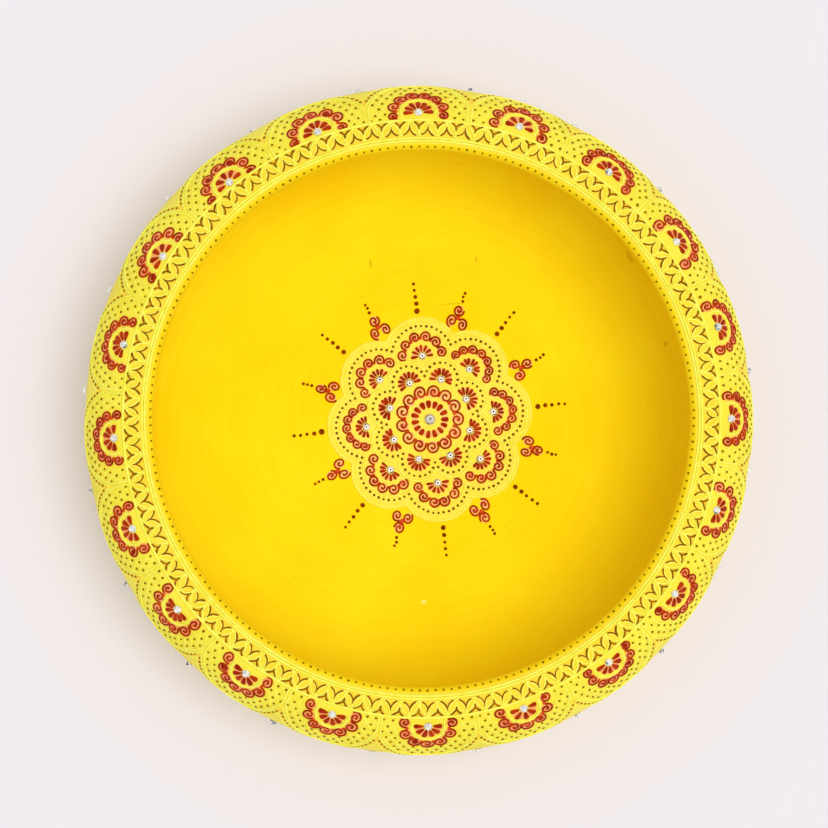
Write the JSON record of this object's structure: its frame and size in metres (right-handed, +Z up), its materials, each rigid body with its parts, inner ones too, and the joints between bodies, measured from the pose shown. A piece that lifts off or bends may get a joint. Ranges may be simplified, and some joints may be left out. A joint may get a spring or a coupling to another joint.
{
  "type": "urli bowl",
  "caption": "Wide shallow urli bowl with an inturned round shoulder, painted clay with piped relief and glued glass stones, for water, petals and floating lamps.",
  "frame": {"origin": "centre of the foot ring, on the surface that the bowl stands on", "axes": "+Z up along the axis of the mouth; +X through the middle of the first arch, on the side that the mandala is shifted to"},
  "size_m": [0.3069, 0.3058, 0.088],
  "materials": {
    "painted_clay": "fired clay under satin golden-yellow paint",
    "piped_relief": "dried lemon-yellow relief paste, softly shiny",
    "glass_stone": "clear cut flat-back glass with silver foil behind it"
  },
  "bodies": {
    "root": {"bowl_shell": "painted_clay", "shoulder_piping": "piped_relief", "mandala_piping": "piped_relief", "centre_stone": "glass_stone", "inner_stone_01": "glass_stone", "inner_stone_02": "glass_stone", "inner_stone_03": "glass_stone", "inner_stone_04": "glass_stone", "inner_stone_05": "glass_stone", "inner_stone_06": "glass_stone", "inner_stone_07": "glass_stone", "inner_stone_08": "glass_stone", "outer_stone_01": "glass_stone", "outer_stone_02": "glass_stone", "outer_stone_03": "glass_stone", "outer_stone_04": "glass_stone", "outer_stone_05": "glass_stone", "outer_stone_06": "glass_stone", "outer_stone_07": "glass_stone", "outer_stone_08": "glass_stone", "flower_stone_01": "glass_stone", "flower_stone_02": "glass_stone", "flower_stone_03": "glass_stone", "flower_stone_04": "glass_stone", "flower_stone_05": "glass_stone", "flower_stone_06": "glass_stone", "flower_stone_07": "glass_stone", "flower_stone_08": "glass_stone", "flower_stone_09": "glass_stone", "flower_stone_10": "glass_stone", "flower_stone_11": "glass_stone", "flower_stone_12": "glass_stone", "flower_stone_13": "glass_stone", "flower_stone_14": "glass_stone", "flower_stone_15": "glass_stone", "flower_stone_16": "glass_stone", "flower_stone_17": "glass_stone", "flower_stone_18": "glass_stone", "flower_stone_19": "glass_stone", "flower_stone_20": "glass_stone", "side_stone_01": "glass_stone", "side_stone_02": "glass_stone", "side_stone_03": "glass_stone", "side_stone_04": "glass_stone", "side_stone_05": "glass_stone", "side_stone_06": "glass_stone", "side_stone_07": "glass_stone", "side_stone_08": "glass_stone", "side_stone_09": "glass_stone", "side_stone_10": "glass_stone", "side_stone_11": "glass_stone", "side_stone_12": "glass_stone", "side_stone_13": "glass_stone", "side_stone_14": "glass_stone", "side_stone_15": "glass_stone", "side_stone_16": "glass_stone", "side_stone_17": "glass_stone", "side_stone_18": "glass_stone", "side_stone_19": "glass_stone", "side_stone_20": "glass_stone"}
  },
  "joints": []
}
